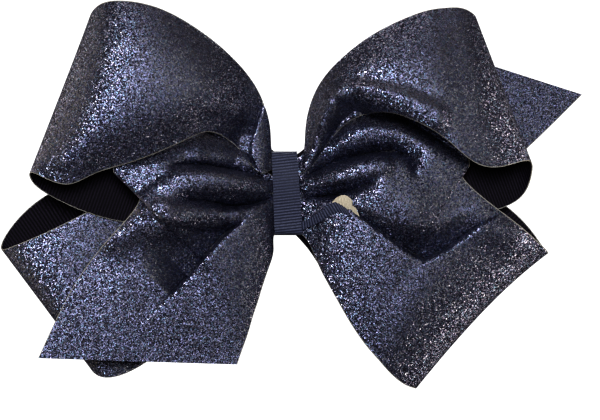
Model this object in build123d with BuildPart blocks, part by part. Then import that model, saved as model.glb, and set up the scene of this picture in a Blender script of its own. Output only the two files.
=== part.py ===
from build123d import *
import math
import os

# Cheer hair bow on an alligator clip, in millimetres.
# +Z is up as worn, the front faces -Y, and X runs to the viewer's right.
# The origin lies on the clip's hair line, midway between the closed jaws and behind the knot.

# Ribbons, 57 mm (2 1/4 inch) wide between the selvages of each station below
RIBBON_THICKNESS = 0.30         # one ribbon: the glitter face, or the lining behind it
LAYER_GAP = 0.10                # air between the face ribbon and its lining

# The knot: each ribbon pass lies at its own depth and is pinched between two heights
NECK_HALF = 5.6                 # half the length of the pinched run, just wider than the wrap
SEAM = 0.3                      # each lobe stops this far from the middle of the knot
LAYER_1 = -11.0
LAYER_2 = -9.4
LAYER_3 = -7.8
LAYER_4 = -6.2
LAYER_5 = -4.6

# Centre wrap, stitching and glue
WRAP_WIDTH = 9.5                # 3/8 inch grosgrain
WRAP_HEIGHT = 26.6
WRAP_THICKNESS = 0.6            # two turns
WRAP_FRONT = -13.2
WRAP_BACK = -0.15
WRAP_CORNER = 2.0
STITCH_WIDTH = 4.0
STITCH_THICKNESS = 0.5
STITCH_HEIGHT = 24.8
STITCH_FRONT = -12.2
STITCH_BACK = -3.6
STITCH_CORNER = 1.3
GLUE_WIDTH = 8.0
GLUE_HEIGHT = 7.0
GLUE_CORNER = 2.0
JOIN_GAP = 0.05                 # film between neighbouring pieces

# Folded ribbon label beside the wrap
LABEL_WIDTH = 3.4
LABEL_THICKNESS = 0.5
LABEL_SLOPE = 30                # degrees it rises to the right
LABEL_START = (0, 0, -12.5)

# Clip
METAL = 0.7                     # sheet steel
BLADE_OUTER = -1.85             # front face of the fixed blade
BLADE_TIP = -27.0
BLADE_HEEL = 26.0
BLADE_WIDTH = 8.0
LINING_THICKNESS = 0.35
LINING_WIDTH = 7.0
LINING_GAP = 0.02               # between the lining and the blade's two faces
PAD_THICKNESS = 0.55
PAD_MARGIN = 1.0                # bare lining left round the grip pad
PAD_CORNER = 1.2
PIN_X = 16.0
PIN_Y = 1.6
PIN_RADIUS = 1.0
PIN_CLEARANCE = 0.05
EAR_RADIUS = 2.4
FRONT_EAR_INNER = 4.2
BACK_EAR_INNER = 3.2
JAW_WIDTH = 7.8
JAW_FACE = 0.15                 # the moving jaw's gripping face
JAW_LINE = ((BLADE_TIP + 1, JAW_FACE), (8, JAW_FACE), (13, 4.6), (19, 5.4), (30, 9.0))
JAW_BEND = 2.0                  # radius of its bends
SPRING_RADIUS = 1.65
SPRING_WIRE = 0.35
SPRING_PITCH = 0.95
SPRING_TURNS = 5
TOOTH_PITCH = 2.2
TOOTH_WIDTH = 1.76
TOOTH_ANGLE = 50                # degrees at each side of its root
TOOTH_COUNT = 9
FIRST_TOOTH = 2.4               # distance of the first tooth from the blade's tip
HEAD_RADIUS = 1.5               # domed heads of the pin
HEAD_HEIGHT = 0.5
HEAD_ROUNDING = 0.3

os.makedirs("parts", exist_ok=True)


def keep(name, label):
    """Name a finished piece and write its STEP file."""
    name.part.label = label
    export_step(name.part, f"parts/{label}.step")


# ---------------------------------------------------------------- ribbon lobes
# A lobe is a list of stations from the knot outwards. Each station is a pair of points,
# one on each selvage, and the ribbon is the ruled surface between the two selvage curves.

def pinch(side, depth, top, bottom):
    """The two stations of a ribbon pass inside the wrap, from the seam outwards."""
    return [((side * x, depth, top), (side * x, depth, bottom)) for x in (SEAM, NECK_HALF)]


def out_and_back(side, front, front_pinch, fold, back, back_pinch):
    """Stations of a loop: out along the front pass, round the fold and back to the knot."""
    outward = pinch(side, *front_pinch) + front
    inward = back + pinch(side, *back_pinch)[::-1]
    return outward + [fold] + inward


def normals(stations):
    """Unit normals of the ribbon's middle surface, one for each station."""
    middles = [(Vector(*a) + Vector(*b)) * 0.5 for a, b in stations]
    found = []
    for index, (a, b) in enumerate(stations):
        before = middles[max(index - 1, 0)]
        after = middles[min(index + 1, len(middles) - 1)]
        across = Vector(*a) - Vector(*b)
        found.append((after - before).cross(across).normalized())
    return found


def selvages(stations, lift):
    """The two selvage curves of a ribbon surface, lifted off the middle surface by lift."""
    steps = [index / (len(stations) - 1) for index in range(len(stations))]
    lifted = list(zip(stations, normals(stations)))
    upper = Edge.make_spline([Vector(*a) + n * lift for (a, b), n in lifted], parameters=steps)
    lower = Edge.make_spline([Vector(*b) + n * lift for (a, b), n in lifted], parameters=steps)
    return upper, lower


def ribbon_solid(stations, near, far):
    """Closed ribbon between two lifts: two broad faces, two selvages and two ends."""
    near_upper, near_lower = selvages(stations, near)
    far_upper, far_lower = selvages(stations, far)
    sides = [near_upper, near_lower, far_lower, far_upper]
    walls = [Face.make_surface_from_curves(one, other)
             for one, other in zip(sides, sides[1:] + sides[:1])]
    ends = [Face(Wire.make_polygon([side @ end for side in sides])) for end in (0, 1)]
    return Solid(Shell(walls + ends))


def ribbon_pair(label, stations, outward):
    """The glitter face ribbon and the lining ribbon behind it."""
    near = LAYER_GAP / 2
    far = near + RIBBON_THICKNESS
    for layer, sign in (("face", outward), ("lining", -outward)):
        with BuildPart() as ribbon:
            add(ribbon_solid(stations, sign * near, sign * far))
        keep(ribbon, f"{label}_{layer}")


UPPER_LEFT = out_and_back(
    -1,
    [((-9, -12, 31), (-14, -17, 16)),
     ((-26, -14, 52), (-34, -26, 15)),
     ((-50, -16, 61), (-60, -25, 6))],
    (LAYER_1, 11.5, 1),
    ((-64, -12, 57.5), (-83, -15, 6)),
    [((-56, -7, 53), (-76, -9.5, -1)),
     ((-25, -6, 43), (-45, -8.8, -10)),
     ((-11, -6.8, 25), (-15, -8.4, -9))],
    (LAYER_3, 11.5, -8))

UPPER_RIGHT = out_and_back(
    1,
    [((9, -12, 30), (14, -17, 17)),
     ((24, -14, 48), (34, -25, 19)),
     ((46, -16, 58), (59, -25, 8))],
    (LAYER_1, 11.5, 1),
    ((60.5, -12, 56.5), (79, -15, 8)),
    [((52, -7, 50), (72, -9.5, -1)),
     ((23, -6, 41), (42, -8.8, -10)),
     ((11, -6.8, 24), (15, -8.4, -9))],
    (LAYER_3, 11.5, -8))

LOWER_LEFT = out_and_back(
    -1,
    [((-16, -6.2, 8), (-14, -6.2, -22)),
     ((-42, -6, 5), (-32, -6, -42)),
     ((-70, -6, -7), (-50, -6, -55))],
    (LAYER_4, 5, -11.5),
    ((-91.5, -1, -17.5), (-58, -1, -58)),
    [((-77, 4, 0), (-47, 4, -49)),
     ((-46, -1, 8), (-35, -2, -38)),
     ((-17, -4.4, 9), (-15, -4.4, -20))],
    (LAYER_5, 6, -11.5))

LOWER_RIGHT = out_and_back(
    1,
    [((18, -12, 14), (7, -13, -18)),
     ((42, -16, 13), (14, -17, -31)),
     ((64, -15, -3), (26, -16, -49))],
    (LAYER_2, 8, -11.5),
    ((83, -8.5, -18), (41, -8.5, -61)),
    [((67, -3, 0), (28, -3, -46)),
     ((42, -4.2, 10), (15, -4.2, -34)),
     ((17, -5.4, 10), (8, -5.4, -21))],
    (LAYER_4, 6, -11.5))

LEFT_TAIL = pinch(-1, LAYER_2, 8, -11.5) + [
    ((-24, -12, 13), (-7, -12, -18)),
    ((-46, -15, 3), (-9, -15.5, -31)),
    ((-62, -17, -20), (-12, -17, -43)),
    ((-79, -17, -52), (-16, -17, -54))]

RIGHT_TAIL = pinch(1, LAYER_5, 8, -8) + [
    ((13, -3.7, 24), (22, -3.7, -5)),
    ((22, 0, 38), (50, 1, -2)),
    ((28, 0, 46), (72, 1, 10)),
    ((33, 0, 51.5), (94, 1, 32))]

ribbon_pair("upper_left_loop", UPPER_LEFT, -1)
ribbon_pair("upper_right_loop", UPPER_RIGHT, 1)
ribbon_pair("lower_left_loop", LOWER_LEFT, -1)
ribbon_pair("lower_right_loop", LOWER_RIGHT, 1)
ribbon_pair("left_tail", LEFT_TAIL, -1)
ribbon_pair("right_tail", RIGHT_TAIL, 1)


# ---------------------------------------------------------------- the knot
def band(label, width, height, front, back, thickness, corner):
    """A flat band that goes once round the knot, with rounded corners."""
    depth = back - front
    middle = (front + back) / 2
    with BuildPart() as ring:
        with BuildSketch(Plane.YZ.offset(-width / 2)):
            with Locations((middle, 0)):
                RectangleRounded(depth, height, corner)
                RectangleRounded(depth - 2 * thickness, height - 2 * thickness,
                                 corner - thickness, mode=Mode.SUBTRACT)
        extrude(amount=width)
    keep(ring, label)


band("centre_wrap", WRAP_WIDTH, WRAP_HEIGHT, WRAP_FRONT, WRAP_BACK, WRAP_THICKNESS,
     WRAP_CORNER)
band("waist_stitching", STITCH_WIDTH, STITCH_HEIGHT, STITCH_FRONT, STITCH_BACK,
     STITCH_THICKNESS, STITCH_CORNER)

# Glue pad between the stitched waist and the lined blade
GLUE_BACK = BLADE_OUTER - LINING_THICKNESS - JOIN_GAP
with BuildPart() as glue_pad:
    with BuildSketch(Plane.XZ.offset(-GLUE_BACK)):
        RectangleRounded(GLUE_WIDTH, GLUE_HEIGHT, GLUE_CORNER)
    extrude(amount=GLUE_BACK - STITCH_BACK - JOIN_GAP)
keep(glue_pad, "glue_pad")

# Folded ribbon label that comes out from under the wrap's edge and rises to the right
LABEL_ALONG = (math.cos(math.radians(LABEL_SLOPE)), 0, math.sin(math.radians(LABEL_SLOPE)))
LABEL_UP = (-LABEL_ALONG[2], 0, LABEL_ALONG[0])
with BuildPart() as label_tab:
    with BuildSketch(Plane(origin=LABEL_START, x_dir=LABEL_ALONG, z_dir=LABEL_UP)):
        with BuildLine():
            Spline((4.6, -11.95), (6.5, -12.5), (12, -15.8), (21, -18.5))
        trace(line_width=LABEL_THICKNESS)
    extrude(amount=LABEL_WIDTH / 2, both=True)
keep(label_tab, "label_tab")


# ---------------------------------------------------------------- the clip
def ear_profiles(inner, reach):
    """Outlines of two rounded ears around the pin, joined to a strip at depth reach."""
    profiles = []
    for side in (-1, 1):
        with BuildSketch(Plane.XY.offset(side * (inner + METAL / 2))) as profile:
            with Locations((PIN_X, PIN_Y)):
                Circle(EAR_RADIUS)
            with Locations((PIN_X, (PIN_Y + reach) / 2)):
                Rectangle(2 * EAR_RADIUS, abs(reach - PIN_Y))
        profiles.append(profile.sketch)
    return profiles


def pin_outline(radius):
    """A circle around the pin's axis."""
    with BuildSketch(Plane.XY) as outline:
        with Locations((PIN_X, PIN_Y)):
            Circle(radius)
    return outline.sketch


# Fixed front blade: a flat strip with two ears that hold the pin
with BuildPart() as clip_front_blade:
    with BuildSketch(Plane.XZ.offset(-BLADE_OUTER)):
        with Locations(((BLADE_TIP + BLADE_HEEL) / 2, 0)):
            SlotOverall(BLADE_HEEL - BLADE_TIP, BLADE_WIDTH)
        with Locations((PIN_X, 0)):
            Rectangle(2 * EAR_RADIUS, 2 * (FRONT_EAR_INNER + METAL))
    extrude(amount=-METAL)
    for profile in ear_profiles(FRONT_EAR_INNER, BLADE_OUTER + METAL / 2):
        extrude(profile, amount=METAL / 2, both=True)
    extrude(pin_outline(PIN_RADIUS), amount=JAW_WIDTH, both=True, mode=Mode.SUBTRACT)
keep(clip_front_blade, "clip_front_blade")

# Moving back jaw: a bent strip with teeth, two ears that turn on the pin, and a thumb lever
with BuildPart() as clip_back_jaw:
    with BuildSketch(Plane.XY):
        with BuildLine():
            path = FilletPolyline(*JAW_LINE, radius=JAW_BEND)
            offset(path, amount=METAL, side=Side.LEFT)
        make_face()
    extrude(amount=JAW_WIDTH / 2, both=True)
    for profile in ear_profiles(BACK_EAR_INNER, JAW_LINE[2][1] + METAL / 2):
        extrude(profile, amount=METAL / 2, both=True)
    for side in (-1, 1):
        with BuildSketch(Plane.XY.offset(side * (JAW_WIDTH - METAL) / 2)):
            for index in range(TOOTH_COUNT):
                with Locations((BLADE_TIP + FIRST_TOOTH + index * TOOTH_PITCH, JAW_FACE + METAL / 4)):
                    Triangle(a=TOOTH_WIDTH, B=TOOTH_ANGLE, C=TOOTH_ANGLE, rotation=180)
        extrude(amount=METAL / 2, both=True)
    bore = pin_outline(PIN_RADIUS + PIN_CLEARANCE)
    extrude(bore, amount=JAW_WIDTH, both=True, mode=Mode.SUBTRACT)
keep(clip_back_jaw, "clip_back_jaw")

# Pin with two domed heads outside the front blade's ears
PIN_HALF = FRONT_EAR_INNER + METAL + 2 * JOIN_GAP
with BuildPart() as clip_pin:
    extrude(pin_outline(PIN_RADIUS), amount=PIN_HALF, both=True)
    for side in (-1, 1):
        with BuildSketch(Plane.XY.offset(side * (PIN_HALF + HEAD_HEIGHT / 2))):
            with Locations((PIN_X, PIN_Y)):
                Circle(HEAD_RADIUS)
        extrude(amount=HEAD_HEIGHT / 2, both=True)
    ends = clip_pin.faces().sort_by(Axis.Z)
    fillet(ends[0].edges() + ends[-1].edges(), HEAD_ROUNDING)
keep(clip_pin, "clip_pin")

# Coil of the torsion spring round the pin
SPRING_LENGTH = SPRING_PITCH * SPRING_TURNS
with BuildPart() as clip_spring:
    with BuildLine() as coil:
        Helix(SPRING_PITCH, SPRING_LENGTH, SPRING_RADIUS,
              center=(PIN_X, PIN_Y, -SPRING_LENGTH / 2))
    with BuildSketch(Plane(origin=coil.edge() @ 0, z_dir=coil.edge() % 0)):
        Circle(SPRING_WIRE)
    sweep(path=coil.wire(), is_frenet=True)
keep(clip_spring, "clip_spring")

# Grosgrain lining, folded round the tip of the blade
with BuildPart() as clip_lining:
    with BuildSketch(Plane.XY):
        with BuildLine():
            outer = BLADE_OUTER - LINING_THICKNESS / 2 - LINING_GAP
            inner = BLADE_OUTER + METAL + LINING_THICKNESS / 2 + LINING_GAP
            front_run = Line((BLADE_HEEL - 3, outer), (BLADE_TIP - 0.1, outer))
            back_run = Line((BLADE_TIP - 0.1, inner), (8, inner))
            fold = ThreePointArc(front_run @ 1, (BLADE_TIP - 0.65, (outer + inner) / 2), back_run @ 0)
        trace(line_width=LINING_THICKNESS)
    extrude(amount=LINING_WIDTH / 2, both=True)
keep(clip_lining, "clip_lining")

# Non-slip pad on the lined blade, between the tip and the wrap
PAD_FACE = BLADE_OUTER + METAL + LINING_THICKNESS + JOIN_GAP
with BuildPart() as grip_pad:
    with BuildSketch(Plane.XZ.offset(-PAD_FACE)):
        with Locations(((BLADE_TIP - WRAP_WIDTH / 2) / 2, 0)):
            RectangleRounded(-BLADE_TIP - WRAP_WIDTH / 2 - 2 * PAD_MARGIN,
                             LINING_WIDTH - PAD_MARGIN, PAD_CORNER)
    extrude(amount=-PAD_THICKNESS)
keep(grip_pad, "grip_pad")
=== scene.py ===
import math

import bpy
import numpy as np
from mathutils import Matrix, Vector


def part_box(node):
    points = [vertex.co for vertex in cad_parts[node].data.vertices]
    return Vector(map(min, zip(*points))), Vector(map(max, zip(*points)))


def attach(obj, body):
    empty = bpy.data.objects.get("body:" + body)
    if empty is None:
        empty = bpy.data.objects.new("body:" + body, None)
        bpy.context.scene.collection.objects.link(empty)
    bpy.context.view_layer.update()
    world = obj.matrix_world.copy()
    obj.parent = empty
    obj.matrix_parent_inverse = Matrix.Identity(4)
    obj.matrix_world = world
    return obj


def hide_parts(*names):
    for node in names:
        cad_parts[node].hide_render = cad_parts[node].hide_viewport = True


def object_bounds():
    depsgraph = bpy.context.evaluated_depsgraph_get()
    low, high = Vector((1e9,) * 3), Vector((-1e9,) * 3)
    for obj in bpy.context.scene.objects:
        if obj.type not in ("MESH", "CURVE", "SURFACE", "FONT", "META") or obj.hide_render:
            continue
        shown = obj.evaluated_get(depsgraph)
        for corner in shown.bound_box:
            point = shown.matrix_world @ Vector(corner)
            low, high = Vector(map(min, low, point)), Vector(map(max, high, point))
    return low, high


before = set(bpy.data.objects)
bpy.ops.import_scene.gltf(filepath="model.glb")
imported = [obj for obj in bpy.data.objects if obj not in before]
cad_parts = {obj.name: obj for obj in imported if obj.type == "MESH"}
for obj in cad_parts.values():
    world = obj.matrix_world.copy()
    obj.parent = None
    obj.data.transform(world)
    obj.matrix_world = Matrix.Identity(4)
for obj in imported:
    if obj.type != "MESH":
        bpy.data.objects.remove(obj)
cad_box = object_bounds()

MM = 0.001

# Ribbon, in millimetres
FACE_THICKNESS = 0.30
LINING_THICKNESS = 0.28
LAYER_GAP = 0.06
CREASE_RADIUS = 0.35
SHARP_WIDTH = 0.7                   # how far the sharp side of a crease reaches
WAIST_1, WAIST_2, WAIST_3, WAIST_4, WAIST_5 = -11.0, -9.4, -7.8, -6.2, -4.6     # passes in the knot

UPPER_DEEPEST, LOWER_DEEPEST = -8.5, -8.4       # the planes that strokes stop at

# Ribbon, as shares
SELVAGE = 0.0038                    # pale edge of the glitter ribbon, of its width
BULGE_POWER = 0.8                   # below 1, a bulge is fuller near the selvages
DRAWN_IN = 0.045                    # how far the lower right fold's middle is drawn in
DRAWN_POWER = 4                     # keeps the drawing in to the fold

# Ribbon, in rows of its list
RELIEF_START = 0.6                  # where strokes set in after the knot
RELIEF_RUN = 0.6                    # how soon they are at full depth
LOOP_FRONT_ROWS, TAIL_FRONT_ROWS = 10.5, 11     # where the front pass ends

# Wrap, in millimetres
WRAP_LEFT, WRAP_RIGHT = -4.65, 3.85         # its edges at mid height
LEAN_LEFT, LEAN_RIGHT = -0.45, -0.95        # how far the edges move over by its top
WRAP_THICKNESS = 0.55
WRAP_CORNER = 2.2
WRAP_CROWN, CROWN_REACH = 0.35, 4.0         # how far its front bulges forward, and how soon
RIB_SLANT = 0.12
RIB_DEPTH = 0.07

# Label, in millimetres
LABEL_THICKNESS = 0.3
LABEL_RIB_DEPTH = 0.03

# Finishes, in counts per metre or in metres
RIBS = 1050
LABEL_THREADS = 2200
WEAVE_GRAIN = 2500.0
RIB_BUMP = 0.00025
FLAKES = 3800
FLAKE_TILT = 0.56                   # of most flakes
RARE_TILT, RARE_POWER = 0.9, 4.0    # further tilt of the few that stand up

# Mesh density, points along and across
FINE_MESH = (300, 100)
PLAIN_MESH = (160, 53)
WRAP_MESH = (460, 40)
LABEL_MESH = (90, 24)
SHARP_ANGLE = math.radians(50)
FACE_SLOT, EDGE_SLOT = 0, 1

# Stage and camera, in metres
ROOM = 3.0
FLOOR_DROP = 0.03                   # the floor's depth under the bow
VIEW_WIDTH = 0.1926                 # what the picture spans at the bow
VIEW_X, VIEW_Z = 0.00385, -0.0053   # its centre
VIEW_DISTANCE = 1.2
SENSOR = 36.0                       # in millimetres
WARM = (1.0, 0.90, 0.76)
COOL = (0.97, 0.98, 1.0)
WHITE = (1.0, 1.0, 1.0)


# ---------------------------------------------------------------- node materials
def new_material(name):
    """An empty node material with a Principled shader."""
    material = bpy.data.materials.new(name)
    material.use_nodes = True
    tree = material.node_tree
    tree.nodes.clear()
    output = tree.nodes.new("ShaderNodeOutputMaterial")
    shader = tree.nodes.new("ShaderNodeBsdfPrincipled")
    tree.links.new(shader.outputs["BSDF"], output.inputs["Surface"])
    return material, tree, shader


def node(tree, kind, **settings):
    """Add a node and set its properties."""
    made = tree.nodes.new(kind)
    for key, value in settings.items():
        setattr(made, key, value)
    return made


def ramp(tree, source, stops):
    """A colour ramp fed by source. Stops are (position, (r, g, b))."""
    made = tree.nodes.new("ShaderNodeValToRGB")
    elements = made.color_ramp.elements
    while len(elements) < len(stops):
        elements.new(0.5)
    for element, (position, colour) in zip(elements, stops):
        element.position = position
        element.color = (*colour, 1.0)
    tree.links.new(source, made.inputs["Fac"])
    return made


def glitter_material():
    """Fine glitter flakes on navy: each flake has its own colour, brightness and tilt."""
    material, tree, shader = new_material("glitter_ribbon_look")
    place = node(tree, "ShaderNodeTexCoord")
    flakes = node(tree, "ShaderNodeTexVoronoi", feature="F1")
    flakes.inputs["Scale"].default_value = FLAKES
    tree.links.new(place.outputs["Object"], flakes.inputs["Vector"])
    split = node(tree, "ShaderNodeSeparateColor")
    tree.links.new(flakes.outputs["Color"], split.inputs["Color"])
    tint = ramp(tree, split.outputs["Red"], [
        (0.0, (0.004, 0.004, 0.008)), (0.30, (0.014, 0.013, 0.024)), (0.52, (0.055, 0.055, 0.095)),
        (0.70, (0.14, 0.14, 0.24)), (0.82, (0.14, 0.22, 0.30)), (0.91, (0.29, 0.25, 0.37)),
        (1.0, (0.48, 0.50, 0.60))])
    tree.links.new(tint.outputs["Color"], shader.inputs["Base Color"])
    centre = node(tree, "ShaderNodeVectorMath", operation="SUBTRACT")
    centre.inputs[1].default_value = (0.5, 0.5, 0.5)
    tree.links.new(flakes.outputs["Color"], centre.inputs[0])
    spread = node(tree, "ShaderNodeMath", operation="POWER")
    spread.inputs[1].default_value = RARE_POWER
    tree.links.new(split.outputs["Blue"], spread.inputs[0])
    amount = node(tree, "ShaderNodeMath", operation="MULTIPLY_ADD")
    amount.inputs[1].default_value = RARE_TILT
    amount.inputs[2].default_value = FLAKE_TILT
    tree.links.new(spread.outputs[0], amount.inputs[0])
    tilt = node(tree, "ShaderNodeVectorMath", operation="SCALE")
    tree.links.new(centre.outputs["Vector"], tilt.inputs[0])
    tree.links.new(amount.outputs[0], tilt.inputs["Scale"])
    geometry = node(tree, "ShaderNodeNewGeometry")
    lean = node(tree, "ShaderNodeVectorMath", operation="ADD")
    tree.links.new(geometry.outputs["Normal"], lean.inputs[0])
    tree.links.new(tilt.outputs["Vector"], lean.inputs[1])
    unit = node(tree, "ShaderNodeVectorMath", operation="NORMALIZE")
    tree.links.new(lean.outputs["Vector"], unit.inputs[0])
    tree.links.new(unit.outputs["Vector"], shader.inputs["Normal"])
    kind = ramp(tree, split.outputs["Red"], [(0.30, (0.0, 0.0, 0.0)), (0.55, (0.9, 0.9, 0.9))])
    tree.links.new(kind.outputs["Color"], shader.inputs["Metallic"])
    shader.inputs["Roughness"].default_value = 0.40
    return material


def grosgrain_material(name, dark, light, ribs_per_metre, sheen, specular):
    """Ribbed woven ribbon: ribs run across the ribbon, spaced along its length in the UV map."""
    material, tree, shader = new_material(name)
    place = node(tree, "ShaderNodeTexCoord")
    split = node(tree, "ShaderNodeSeparateXYZ")
    tree.links.new(place.outputs["UV"], split.inputs["Vector"])
    count = node(tree, "ShaderNodeMath", operation="MULTIPLY")
    count.inputs[1].default_value = ribs_per_metre * 2 * math.pi
    tree.links.new(split.outputs["X"], count.inputs[0])
    wave = node(tree, "ShaderNodeMath", operation="SINE")
    tree.links.new(count.outputs[0], wave.inputs[0])
    lift = node(tree, "ShaderNodeMath", operation="MULTIPLY_ADD")
    lift.inputs[1].default_value = 0.5
    lift.inputs[2].default_value = 0.5
    tree.links.new(wave.outputs[0], lift.inputs[0])
    warp = node(tree, "ShaderNodeTexNoise")
    warp.inputs["Scale"].default_value = WEAVE_GRAIN
    tree.links.new(place.outputs["Object"], warp.inputs["Vector"])
    mixed = node(tree, "ShaderNodeMath", operation="MULTIPLY")
    tree.links.new(lift.outputs[0], mixed.inputs[0])
    tree.links.new(warp.outputs["Fac"], mixed.inputs[1])
    tint = ramp(tree, mixed.outputs[0], [(0.05, dark), (0.60, light)])
    tree.links.new(tint.outputs["Color"], shader.inputs["Base Color"])
    bump = node(tree, "ShaderNodeBump")
    bump.inputs["Strength"].default_value = 0.6
    bump.inputs["Distance"].default_value = RIB_BUMP
    tree.links.new(mixed.outputs[0], bump.inputs["Height"])
    tree.links.new(bump.outputs["Normal"], shader.inputs["Normal"])
    shader.inputs["Roughness"].default_value = 0.62
    shader.inputs["Specular IOR Level"].default_value = specular
    shader.inputs["Sheen Weight"].default_value = sheen
    shader.inputs["Sheen Roughness"].default_value = 0.4
    return material


def plain_material(name, colour, roughness, metallic=0.0, grain=600.0, depth=0.00003):
    """A moulded or metal finish with a fine grain in its colour and surface."""
    material, tree, shader = new_material(name)
    place = node(tree, "ShaderNodeTexCoord")
    noise = node(tree, "ShaderNodeTexNoise")
    noise.inputs["Scale"].default_value = grain
    tree.links.new(place.outputs["Object"], noise.inputs["Vector"])
    low = tuple(channel * 0.8 for channel in colour)
    high = tuple(min(channel * 1.15, 1.0) for channel in colour)
    tint = ramp(tree, noise.outputs["Fac"], [(0.3, low), (0.7, high)])
    tree.links.new(tint.outputs["Color"], shader.inputs["Base Color"])
    bump = node(tree, "ShaderNodeBump")
    bump.inputs["Strength"].default_value = 0.5
    bump.inputs["Distance"].default_value = depth
    tree.links.new(noise.outputs["Fac"], bump.inputs["Height"])
    tree.links.new(bump.outputs["Normal"], shader.inputs["Normal"])
    shader.inputs["Roughness"].default_value = roughness
    shader.inputs["Metallic"].default_value = metallic
    return material


def glow_material(name, strength):
    """An evenly lit pale surface, as a studio sweep looks behind a product."""
    material = bpy.data.materials.new(name)
    material.use_nodes = True
    tree = material.node_tree
    tree.nodes.clear()
    output = tree.nodes.new("ShaderNodeOutputMaterial")
    glow = tree.nodes.new("ShaderNodeEmission")
    glow.inputs["Color"].default_value = (1, 1, 1, 1)
    glow.inputs["Strength"].default_value = strength
    tree.links.new(glow.outputs["Emission"], output.inputs["Surface"])
    return material


GLITTER = glitter_material()
RIM = plain_material("ribbon_cut_edge", (0.27, 0.26, 0.235), 0.7, grain=WEAVE_GRAIN)
LINING = grosgrain_material("lining_ribbon_look", (0.001, 0.001, 0.002), (0.018, 0.013, 0.026),
                            RIBS, sheen=0.0, specular=0.10)
WRAP = grosgrain_material("wrap_ribbon_look", (0.018, 0.020, 0.038), (0.086, 0.096, 0.160),
                          RIBS, sheen=0.2, specular=0.25)
LABEL = grosgrain_material("label_ribbon_look", (0.42, 0.36, 0.26), (0.72, 0.66, 0.54),
                           LABEL_THREADS, sheen=0.2, specular=0.25)
STEEL = plain_material("clip_steel_look", (0.42, 0.42, 0.44), 0.40, metallic=1.0, grain=400.0,
                       depth=0.00001)
SPRING = plain_material("spring_steel_look", (0.30, 0.30, 0.32), 0.38, metallic=1.0, grain=900.0)
RUBBER = plain_material("grip_rubber_look", (0.50, 0.50, 0.48), 0.7, grain=1500.0, depth=0.0001)
THREAD = plain_material("thread_look", (0.02, 0.025, 0.06), 0.6, grain=2500.0, depth=0.0001)
GLUE = plain_material("glue_look", (0.80, 0.78, 0.70), 0.35, grain=300.0)


# ---------------------------------------------------------------- ribbon geometry
def spline(rows, count):
    """Natural cubic spline through rows, which sit at 0, 1, 2 and so on; count even samples."""
    rows = np.asarray(rows, float)
    size = len(rows)
    system = np.eye(size)
    known = np.zeros_like(rows)
    for i in range(1, size - 1):
        system[i, i - 1:i + 2] = (1.0, 4.0, 1.0)
        known[i] = 6.0 * (rows[i + 1] - 2.0 * rows[i] + rows[i - 1])
    bend = np.linalg.solve(system, known.reshape(size, -1)).reshape(rows.shape)
    at = np.linspace(0.0, size - 1.0, count)
    low = np.minimum(at.astype(int), size - 2)
    t = (at - low).reshape((-1,) + (1,) * (rows.ndim - 1))
    s = 1.0 - t
    return (s * rows[low] + t * rows[low + 1]
            + (s ** 3 - s) / 6.0 * bend[low] + (t ** 3 - t) / 6.0 * bend[low + 1])


def stroke(x, z, points, power, sharp_side):
    """Depth of a stroke over the front view. Points are (x, z, depth, half width).

    The power shapes its sides: 0 is a straight ramp, 0.5 is creased, 1 is rounded and 2 is
    flat with steep sides.
    A sharp side, 1 for the left of its path or -1 for the right, drops off like a fold's edge.
    """
    nearest = np.full(x.shape, np.inf)
    depth = np.zeros(x.shape)
    for (x0, z0, d0, w0), (x1, z1, d1, w1) in zip(points[:-1], points[1:]):
        run = (x1 - x0) ** 2 + (z1 - z0) ** 2
        t = np.clip(((x - x0) * (x1 - x0) + (z - z0) * (z1 - z0)) / run, 0.0, 1.0)
        away = (x - x0 - t * (x1 - x0)) ** 2 + (z - z0 - t * (z1 - z0)) ** 2
        width = w0 + t * (w1 - w0)
        if sharp_side:
            side = (x1 - x0) * (z - z0) - (z1 - z0) * (x - x0)
            width = np.where(side * sharp_side > 0, SHARP_WIDTH, width)
        reach = (away + CREASE_RADIUS ** 2) / width ** 2
        fall = np.exp(-reach ** power) if power else np.clip(1.0 - np.sqrt(reach), 0.0, 1.0)
        closer = away < nearest
        nearest = np.where(closer, away, nearest)
        depth = np.where(closer, fall * (d0 + t * (d1 - d0)), depth)
    return depth


def ribbon_grid(rows, mesh, strokes=(), front_rows=0, deepest=0, drawn_in=0.0):
    """Points of a ribbon's middle surface in millimetres, indexed [along, across].

    Each row is (upper selvage point, lower selvage point, forward bulge between them).
    Strokes add depth to the pass nearest the front, which ends at row front_rows, and
    none goes deeper than the plane y = deepest. The middle of a loop's fold is drawn in
    towards the knot by the share drawn_in.
    """
    along, across = mesh
    upper = spline([row[0] for row in rows], along)
    lower = spline([row[1] for row in rows], along)
    bulge = spline([[row[2]] for row in rows], along)[:, 0]
    v = np.concatenate([[0.0], np.linspace(SELVAGE, 1.0 - SELVAGE, across - 2), [1.0]])
    grid = upper[:, None, :] * (1 - v)[None, :, None] + lower[:, None, :] * v[None, :, None]
    grid[:, :, 1] -= bulge[:, None] * np.sin(np.pi * v)[None, :] ** BULGE_POWER
    reach = np.hypot(grid[:, :, 0], grid[:, :, 2])
    inward = drawn_in * np.sin(np.pi * v)[None, :] * (reach / reach.max()) ** DRAWN_POWER
    grid[:, :, ::2] *= (1.0 - inward)[:, :, None]
    u = np.linspace(0.0, len(rows) - 1.0, along)
    starting = np.clip((u - RELIEF_START) / RELIEF_RUN, 0.0, 1.0)
    active = np.clip(front_rows - u, 0.0, 1.0) * starting
    relief = np.zeros(grid.shape[:2])
    for power, sharp_side, points in strokes:
        relief += stroke(grid[:, :, 0], grid[:, :, 2], points, power, sharp_side)
    wanted = grid[:, :, 1] + relief * active[:, None]
    grid[:, :, 1] = np.where(active[:, None] > 0, np.minimum(wanted, deepest), wanted)
    return grid


def unit_normals(grid):
    """Unit normals of a grid of points."""
    normal = np.cross(np.gradient(grid, axis=0), np.gradient(grid, axis=1))
    return normal / np.maximum(np.linalg.norm(normal, axis=2, keepdims=True), 1e-9)


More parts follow.
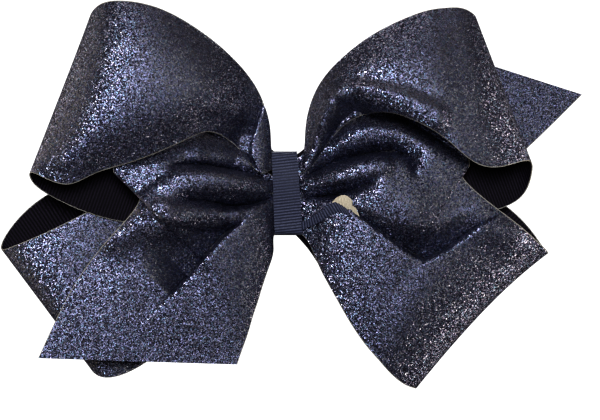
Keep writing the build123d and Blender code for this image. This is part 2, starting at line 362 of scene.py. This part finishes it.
def distances(grid):
    """Distance along the ribbon and across it, in metres, for each point."""
    step_u = np.linalg.norm(np.diff(grid, axis=0), axis=2)
    step_v = np.linalg.norm(np.diff(grid, axis=1), axis=2)
    u = np.zeros(grid.shape[:2])
    v = np.zeros(grid.shape[:2])
    u[1:] = np.cumsum(step_u.mean(axis=1))[:, None]
    v[:, 1:] = np.cumsum(step_v, axis=1)
    return u * MM, v * MM


def strip(name, grid, near, far, face_material, edge_material, slant=0.0, backed=False):
    """A thin closed ribbon between the grid lifted by near and by far along its normals.

    A backed ribbon also has the edge material on its near side and along its selvages.
    """
    normal = unit_normals(grid)
    count_u, count_v = grid.shape[:2]
    sheets = [(grid + normal * lift) * MM for lift in (far, near)]
    points = np.concatenate([sheet.reshape(-1, 3) for sheet in sheets])
    base = count_u * count_v
    faces = []
    slots = []
    sign = 1 if far > near else -1

    def quad(a, b, c, d, slot):
        faces.append((a, b, c, d) if sign > 0 else (d, c, b, a))
        slots.append(slot)

    for i in range(count_u - 1):
        for j in range(count_v - 1):
            a = i * count_v + j
            bare = backed and j in (0, count_v - 2)
            quad(a, a + count_v, a + count_v + 1, a + 1, EDGE_SLOT if bare else FACE_SLOT)
            quad(base + a, base + a + 1, base + a + count_v + 1, base + a + count_v,
                 EDGE_SLOT if backed else FACE_SLOT)
    for i in range(count_u - 1):
        a = i * count_v
        quad(a, base + a, base + a + count_v, a + count_v, EDGE_SLOT)
        b = a + count_v - 1
        quad(b, b + count_v, base + b + count_v, base + b, EDGE_SLOT)
    for j in range(count_v - 1):
        quad(j, j + 1, base + j + 1, base + j, EDGE_SLOT)
        a = (count_u - 1) * count_v + j
        quad(a, base + a, base + a + 1, a + 1, EDGE_SLOT)
    mesh = bpy.data.meshes.new(name)
    mesh.from_pydata(points.tolist(), [], faces)
    mesh.materials.append(face_material)
    mesh.materials.append(edge_material)
    mesh.polygons.foreach_set("material_index", slots)
    mesh.polygons.foreach_set("use_smooth", [True] * len(faces))
    u, v = distances(grid)
    flat_uv = np.stack([u + slant * v, v], axis=2).reshape(-1, 2)
    flat_uv = np.concatenate([flat_uv, flat_uv])
    layer = mesh.uv_layers.new(name="ribbon")
    corner = np.zeros(len(mesh.loops), dtype=np.int32)
    mesh.loops.foreach_get("vertex_index", corner)
    layer.data.foreach_set("uv", flat_uv[corner].ravel())
    mesh.update()
    mesh.set_sharp_from_angle(angle=SHARP_ANGLE)
    made = bpy.data.objects.new(name, mesh)
    bpy.context.scene.collection.objects.link(made)
    return made


def ribbon_lobe(lobe, grid, outward):
    """The glitter ribbon and the lining ribbon of one lobe, built as thin strips on the bow in place of
    the model's pieces.

    Outward, 1 or -1, is the side of the grid that the glitter ribbon lies on.
    """
    gap = LAYER_GAP / 2 * outward
    face = strip(lobe + "_glitter", grid, gap, gap + FACE_THICKNESS * outward, GLITTER, RIM,
                 backed=True)
    lining = strip(lobe + "_grosgrain", grid[:-1, 1:-1], -gap, -gap - LINING_THICKNESS * outward,
                   LINING, LINING)
    for piece, part, slot in ((face, "_face", "glitter_ribbon"), (lining, "_lining", "lining_ribbon")):
        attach(piece, "bow")
        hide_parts(lobe + part)


# Rows run along the ribbon from the knot, and a loop's rows come back to it behind: upper
# selvage, lower selvage, forward bulge. A stroke is its power, its sharp side and its path,
# whose points are (x, z, depth, half width).
UPPER_LEFT = [
    ((-0.5, WAIST_1, 11.4), (-0.5, WAIST_1, 6), 0),
    ((-5, -11.6, 12.6), (-5.2, -12.3, 7.5), 0.3),
    ((-5.8, -11.2, 20), (-8.5, -14.2, 6.4), 0.3),
    ((-7.6, -11.8, 28), (-12.5, -13.6, 10), 0.5),
    ((-11.8, -12.3, 36), (-16.5, -12.5, 15), 2),
    ((-20, -13.3, 45), (-24, -18, 19.6), 5),
    ((-30.5, -15.5, 53), (-33, -22, 16.8), 5.5),
    ((-42, -17, 58.8), (-48, -22.5, 10.5), 6.5),
    ((-53, -16.5, 60.8), (-61, -22.5, 6.4), 6),
    ((-59.8, -13.5, 59.6), (-70.6, -22, 2.9), 4.5),
    ((-62.8, -9.5, 56.2), (-80, -18, 6.3), 2),
    ((-61.8, -7, 54.3), (-81.4, -13, 4.3), 0),
    ((-56, -5.5, 51.5), (-76, -9, -0.6), 0),
    ((-40, -5, 45.5), (-59, -7.6, -7.7), 0),
    ((-22, -6, 34), (-37, -7.6, -10), 0),
    ((-9, -7.2, 18), (-13, -7.7, -8.5), 0),
    ((-0.5, WAIST_3, 11), (-0.5, WAIST_3, -8), 0)]
UPPER_LEFT_STROKES = [
    (0, 1, [(-8, 28, 1, 5), (-10.2, 21, 4, 9), (-12, 16, 6, 12), (-12.2, 12, 5, 9), (-10.6, 9.6, 2, 4)]),
    (1, 0, [(-16, 20, 1.5, 3), (-22, 23, 2, 4), (-28, 24, 1, 4)]),
    (1, 0, [(-76, 4, 2, 5), (-68, 3, 3.5, 6), (-60, 6.5, 3, 7), (-48, 11, 3, 7), (-36, 16, 3, 6),
            (-27, 20, 2, 5)])]

UPPER_RIGHT = [
    ((0.5, WAIST_1, 11.4), (0.5, WAIST_1, 6), 0),
    ((5, -11.6, 12.6), (5.2, -12.3, 7), 0.3),
    ((6, -11, 22), (9.5, -13, 12), 1),
    ((9.4, -12, 33), (14.5, -13, 18.5), 4),
    ((16, -12.5, 41.5), (21, -14, 24), 6),
    ((25.5, -12.5, 49.2), (31, -20, 25.8), 5.5),
    ((35.5, -12.5, 54.6), (41.5, -24.5, 22.3), 4.5),
    ((44, -12.5, 57.8), (50.5, -26.5, 16.6), 4),
    ((50.5, -12, 58.8), (58, -26, 10.2), 4),
    ((55.7, -11.5, 58.6), (66.7, -24, 8.3), 3.5),
    ((59.4, -9.5, 56.4), (75.6, -19, 10.2), 1.5),
    ((59, -7, 54.6), (77.2, -13, 5.8), 0),
    ((54, -6, 52), (73.5, -10.3, -1.8), 0),
    ((39, -6, 45), (60, -9.6, -7), 0),
    ((22, -6.5, 33), (37, -9.3, -10), 0),
    ((9, -7.4, 18), (13, -8.4, -8.5), 0),
    ((0.5, WAIST_3, 11), (0.5, WAIST_3, -8), 0)]
UPPER_RIGHT_STROKES = [
    (2, 0, [(5.5, 8, -1, 1.3), (9.3, 15.5, -2, 1.8), (11.6, 22, -3, 2.1), (14, 28.5, -3, 2.4),
            (17.5, 32.5, 0, 3)]),
    (2, 0, [(17.5, 32, -3, 3), (24, 31.5, -4, 3.8), (36, 28, -3, 4.5), (45, 23.5, -2, 5)]),
    (0.5, 0, [(13, 17, 3.5, 2), (17, 23, 5, 2.4), (21, 26.5, 5.5, 2.4), (28, 24.5, 5, 1.6),
              (38, 21, 2, 1)])]

LEFT_TAIL = [
    ((-0.5, WAIST_2, 6), (-0.5, WAIST_2, -11.4), 0),
    ((-5, -12, 5.5), (-4.5, -12.2, -13), 0.4),
    ((-14, -14, 14.5), (-4.8, -13.5, -18), 2),
    ((-28, -15.5, 20), (-6, -15, -23), 3.5),
    ((-45, -16, 16), (-8, -15.8, -29), 4),
    ((-55, -17, 8.5), (-9.5, -16, -34), 4),
    ((-50.5, -17, 3.2), (-11, -16.5, -38.5), 3),
    ((-47, -16.5, -3), (-12, -16.7, -42), 2.5),
    ((-57, -16, -15), (-13.2, -16.8, -46), 2),
    ((-68.4, -16.5, -30.5), (-14.6, -16.9, -50), 1),
    ((-79, -17, -52.2), (-16, -17, -54.2), 0)]
LEFT_TAIL_STROKES = [
    (0, 0, [(-7, 9, 3, 4), (-14, 14.5, 6, 7), (-28, 20, 7.5, 9), (-42, 17, 5, 8), (-52, 10.5, 1, 4)]),
    (0.5, 1, [(-6.5, 4.4, 3, 1.4), (-11.4, 6, 8, 2.4), (-17, 7.2, 11, 3.2), (-25, 8.6, 10, 2.8),
              (-32, 9.2, 6, 2.2), (-38, 8.6, 1, 1.5)]),
    (2, 0, [(-5.8, 1.8, -1, 2), (-15.4, 3.2, -2, 3.2), (-25, 4, -2.5, 3.6), (-34, 3.4, -2.5, 4),
            (-40, -0.5, -2, 4), (-45, -3.7, -2, 3.6)]),
    (0.5, 1, [(-5.2, -1.6, 3, 1), (-12, -3.8, 10, 2), (-19, -4.4, 11, 2.2), (-26, -2.6, 7, 1.8),
              (-34, -2, 1.5, 1)]),
    (2, 0, [(-45, -4, 0, 3), (-38, -5.6, -3, 3.4), (-30, -7.6, -3, 3.4), (-21, -8.4, -2, 2.6),
            (-16, -7.6, -1, 2)]),
    (1, 0, [(-55, -14, -3, 5), (-48, -9.5, -4, 6), (-38, -9, -3.5, 5)]),
    (0, 1, [(-14, -8.5, 1, 4), (-19, -12.5, 6, 9), (-25.5, -19.5, 8.6, 15), (-31.5, -26.5, 8.8, 18),
            (-37.5, -32.5, 1, 14)])]

LOWER_RIGHT = [
    ((0.5, WAIST_2, 7), (0.5, WAIST_2, -11.4), 0),
    ((5, -11.8, 7), (4.5, -11.8, -13), 0.4),
    ((12, -12.2, 16), (7.5, -13, -17), 1.5),
    ((22, -12.5, 27), (10.5, -14.5, -24), 3.5),
    ((36, -13, 28), (14.5, -15.5, -31.5), 4.5),
    ((51, -14, 19), (19, -16, -39.5), 4.5),
    ((57.5, -15, 9.5), (22.5, -16, -45), 4),
    ((55, -15.5, 5.8), (25.5, -16, -49), 3.5),
    ((62, -15.8, -1.6), (29, -15.5, -53), 3.5),
    ((71.6, -15, -9), (33, -14, -57.5), 2.5),
    ((79.3, -12.5, -15.3), (37.3, -11.5, -60.8), 1.5),
    ((82.6, -8.5, -18.3), (40.3, -8, -62), 0.5),
    ((81.5, -5, -17), (39.5, -5, -60.5), -0.5),
    ((70.5, -3.2, -4.5), (31, -3, -50), 0),
    ((46, -4, 6), (17, -4, -34), 0),
    ((18, -5.3, 9), (8, -5.3, -20), 0),
    ((0.5, WAIST_4, 6), (0.5, WAIST_4, -11.4), 0)]
LOWER_RIGHT_STROKES = [
    (1, 0, [(12, 18, 4, 2.4), (17, 24, 7, 3.5), (24, 26, 7, 3.2), (36, 24.6, 6, 2.8), (48, 17.5, 4, 2.4),
            (56, 11, 1, 2)]),
    (0.5, -1, [(6, 5.6, 2, 1.2), (12.5, 8.6, 8, 2.2), (19, 10.8, 11, 2.6), (27.3, 12.8, 11, 2.6),
               (34, 13, 9, 2.4), (38.6, 11.2, 7, 2), (39.8, 6.5, 1, 1.5)]),
    (2, 0, [(4.8, 2.4, -1, 1.7), (14.4, 5, -2, 2.4), (23, 7.4, -2, 3), (30, 9, -1.5, 3)]),
    (0.5, -1, [(4.8, -1.4, 3, 0.9), (14.4, -0.9, 8, 1.4), (21, 1, 7, 1.4), (27.3, 4, 2, 1.2)]),
    (1, 0, [(30, 0, -2, 7), (38, -4, -2, 8)]),
    (0, -1, [(21.5, -6.5, 2, 3), (29, -12, 4, 5), (37, -18, 7.5, 9), (43, -21.3, 9, 12), (50, -18, 6, 9),
             (58, -12, 3, 6), (66, -7, 0.5, 4)]),
    (1, 0, [(62, -10, -2, 5), (72, -14, -2, 5)])]

LOWER_LEFT = [
    ((-0.5, WAIST_4, 5), (-0.5, WAIST_4, -11.4), 0),
    ((-5, -6.4, 5), (-5, -6.4, -12), 0),
    ((-18, -5.2, 7), (-14, -5.6, -24), 0),
    ((-42, -4.8, 3), (-31, -5, -42), 0.3),
    ((-60, -6.2, -4), (-44, -5.4, -53), 1.2),
    ((-76, -7.4, -12), (-53.5, -8, -58), 2),
    ((-88, -5.5, -17), (-60, -7, -58.2), 1.5),
    ((-91.8, -0.8, -17.6), (-63.2, -3, -55.5), 0),
    ((-90.5, 1.8, -13), (-61, 0.5, -53.5), -0.5),
    ((-80, 2.8, -2), (-50, 2, -49), -1),
    ((-60, 0.5, 6), (-40, 0, -41), -0.5),
    ((-36, -2.8, 8), (-27, -3, -31), 0),
    ((-15, -4.4, 8), (-13, -4.4, -19), 0),
    ((-0.5, WAIST_5, 6), (-0.5, WAIST_5, -11.4), 0)]

RIGHT_TAIL = [
    ((0.5, WAIST_5, 8), (0.5, WAIST_5, -8), 0),
    ((5, -4.4, 11), (6, -4.4, -8), 0),
    ((13, -3.7, 24), (22, -3.7, -5), 0.3),
    ((22, -1.5, 37), (45, -0.5, -4), 0.5),
    ((27, -0.5, 44), (64, 0.5, 4), 0.3),
    ((30, 0, 48), (80, 1, 17.5), 0),
    ((33, 0, 51.5), (94.4, 0, 31.8), 0)]

upper_left = ribbon_grid(UPPER_LEFT, FINE_MESH, UPPER_LEFT_STROKES, LOOP_FRONT_ROWS, UPPER_DEEPEST)
upper_right = ribbon_grid(UPPER_RIGHT, FINE_MESH, UPPER_RIGHT_STROKES, LOOP_FRONT_ROWS,
                          UPPER_DEEPEST)
left_tail = ribbon_grid(LEFT_TAIL, FINE_MESH, LEFT_TAIL_STROKES, TAIL_FRONT_ROWS, LOWER_DEEPEST)
lower_right = ribbon_grid(LOWER_RIGHT, FINE_MESH, LOWER_RIGHT_STROKES, LOOP_FRONT_ROWS,
                          LOWER_DEEPEST, DRAWN_IN)
lower_left = ribbon_grid(LOWER_LEFT, PLAIN_MESH)
right_tail = ribbon_grid(RIGHT_TAIL, PLAIN_MESH)

# The ribbons' flat lengths are not taken from these surfaces: the four loops and the left tail
# are modelled 11 to 25 mm longer. The loops' lengths were shortened after the area check stopped
# on the upper right loop. With the modelled lengths both upper loops fail that check: see
# report.md.
ribbon_lobe("upper_left_loop", upper_left, 1)
ribbon_lobe("upper_right_loop", upper_right, -1)
ribbon_lobe("left_tail", left_tail, 1)
ribbon_lobe("lower_right_loop", lower_right, -1)
ribbon_lobe("lower_left_loop", lower_left, 1)
ribbon_lobe("right_tail", right_tail, -1)


# ---------------------------------------------------------------- knot wrap and folded label
def wrap_grid(along, across):
    """The wrap's outer surface, once round the knot: a rounded rectangle that leans a little."""
    low_corner, high_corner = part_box("centre_wrap")
    front, back = low_corner[1] / MM, high_corner[1] / MM
    top = high_corner[2] / MM
    radius = WRAP_CORNER
    centres = [(back - radius, top - radius), (front + radius, top - radius),
               (front + radius, radius - top), (back - radius, radius - top)]
    outline = [(back, 0.0)]
    for quarter, (y, z) in enumerate(centres):
        for step in range(9):
            angle = math.pi / 2 * (quarter + step / 8)
            outline.append((y + radius * math.cos(angle), z + radius * math.sin(angle)))
    outline.append((back, 0.0))
    outline = np.array(outline)
    passed = np.concatenate([[0], np.cumsum(np.linalg.norm(np.diff(outline, axis=0), axis=1))])
    at = np.linspace(0, passed[-1], along)
    y = np.interp(at, passed, outline[:, 0])[:, None]
    z = np.interp(at, passed, outline[:, 1])[:, None]
    v = np.linspace(0, 1, across)[None, :]
    lean = z / top
    x = (WRAP_LEFT + LEAN_LEFT * lean) * (1 - v) + (WRAP_RIGHT + LEAN_RIGHT * lean) * v
    forward = np.clip((0.5 * (front + back) - y) / CROWN_REACH, 0.0, 1.0)
    crown = WRAP_CROWN * np.sin(np.pi * v) * forward
    return np.stack([x + 0 * y, y - crown, z + 0 * v], axis=2)


def ribbed(grid, slant, depth):
    """The grid with fine ribs across it, in step with the ribs of the wrap ribbon's finish."""
    u, v = distances(grid)
    wave = np.sin(2 * math.pi * RIBS * (u + slant * v))
    return grid + unit_normals(grid) * (depth * wave)[:, :, None]


wrap_surface = ribbed(wrap_grid(*WRAP_MESH), RIB_SLANT, RIB_DEPTH)
wrap = strip("wrap_band", wrap_surface, 0, -WRAP_THICKNESS, WRAP, WRAP, RIB_SLANT)
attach(wrap, "bow")
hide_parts("centre_wrap")

LABEL_STRAP = [
    ((4, -12.9, -9.4), (4, -12.9, -11.8), 0),
    ((8.6, -15.4, -7), (9.4, -15.4, -9.4), 0.2),
    ((11.9, -17, -4.6), (13.4, -17, -7.1), 0.3),
    ((14.6, -18, -2.9), (16.6, -18.2, -6.1), 0.3),
    ((17.2, -18.6, -3.9), (19, -18.6, -6.9), 0.2),
    ((20.4, -18.2, -6.4), (20.8, -18.2, -7.4), 0)]
LABEL_TIP = [
    ((14, -17.6, -2.9), (14.4, -17.7, -4.6), 0),
    ((15.3, -18.3, -1.6), (16.2, -18, -5), 0.2),
    ((17, -18.9, -0.7), (18, -18.1, -5.4), 0.4),
    ((19, -18.9, -1.1), (19.8, -18.1, -6), 0.4),
    ((20.8, -18.5, -3.3), (21.4, -18, -6.7), 0.2),
    ((22.5, -18, -7.1), (22.6, -18, -7.4), 0)]
for name, rows, finish in (("label_strap", LABEL_STRAP, WRAP), ("label_folded_tip", LABEL_TIP, LABEL)):
    surface = ribbed(ribbon_grid(rows, LABEL_MESH), 0.0, LABEL_RIB_DEPTH)
    piece = strip(name, surface, LABEL_THICKNESS / 2, -LABEL_THICKNESS / 2, finish, finish)
    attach(piece, "bow")
    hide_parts("label_tab")


# ---------------------------------------------------------------- finishes of the CAD pieces
FINISHES = {
    "waist_stitching": THREAD, "glue_pad": GLUE,
    "clip_front_blade": STEEL, "clip_back_jaw": STEEL, "clip_pin": STEEL, "clip_spring": SPRING,
    "clip_lining": LINING, "grip_pad": RUBBER}
for name, material in FINISHES.items():
    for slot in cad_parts[name].material_slots:
        slot.material = material


# ---------------------------------------------------------------- stage, light and camera
low, high = (Vector(corner) for corner in cad_box)
middle = (low + high) / 2


def area_light(name, place, size, power, colour):
    """A soft square light aimed at the middle of the bow."""
    light = bpy.data.lights.new(name, "AREA")
    light.size = size
    light.energy = power
    light.color = colour
    made = bpy.data.objects.new(name, light)
    made.location = place
    made.rotation_euler = (middle - Vector(place)).to_track_quat("-Z", "Y").to_euler()
    bpy.context.scene.collection.objects.link(made)
    return made


def stage_box(name, half, floor_z, material):
    """A pale floor with four walls and a ceiling around the set, seen by the camera alone."""
    corners = [(x, y, z) for z in (floor_z, half) for y in (-half, half) for x in (-half, half)]
    faces = [(0, 1, 3, 2), (4, 6, 7, 5), (0, 4, 5, 1), (2, 3, 7, 6), (0, 2, 6, 4), (1, 5, 7, 3)]
    mesh = bpy.data.meshes.new(name)
    mesh.from_pydata(corners, [], faces)
    mesh.materials.append(material)
    made = bpy.data.objects.new(name, mesh)
    for ray in ("diffuse", "glossy", "transmission", "shadow"):
        setattr(made, "visible_" + ray, False)
    bpy.context.scene.collection.objects.link(made)


stage_box("pale_floor_and_walls", ROOM, low.z - FLOOR_DROP, glow_material("pale_stage", 1.0))

world = bpy.data.worlds.new("studio")
world.use_nodes = True
world.node_tree.nodes["Background"].inputs["Color"].default_value = (1, 0.93, 0.84, 1)
world.node_tree.nodes["Background"].inputs["Strength"].default_value = 0.04
bpy.context.scene.world = world
bpy.context.scene.view_settings.view_transform = "Standard"
bpy.context.scene.view_settings.look = "High Contrast"

area_light("key", (0.0, -1.10, 0.26), 0.40, 9.7, COOL)
area_light("top", (0.1, -0.2, 1.1), 0.6, 2.4, WARM)
area_light("low", (0.0, -0.5, -1.0), 0.6, 0.4, WARM)
area_light("left", (-1.0, 0.12, 0.05), 0.8, 6.0, WARM)
area_light("right", (1.0, 0.13, -0.14), 0.7, 8.5, WARM)
area_light("back", (0.1, 1.0, 0.75), 0.6, 15.0, WHITE)

camera_data = bpy.data.cameras.new("camera")
camera_data.sensor_width = SENSOR
camera_data.lens = SENSOR * VIEW_DISTANCE / VIEW_WIDTH
camera_data.clip_end = 20.0
camera = bpy.data.objects.new("camera", camera_data)
camera.location = (VIEW_X, -VIEW_DISTANCE, VIEW_Z)
camera.rotation_euler = (math.radians(90), 0, 0)
bpy.context.scene.collection.objects.link(camera)
bpy.context.scene.camera = camera
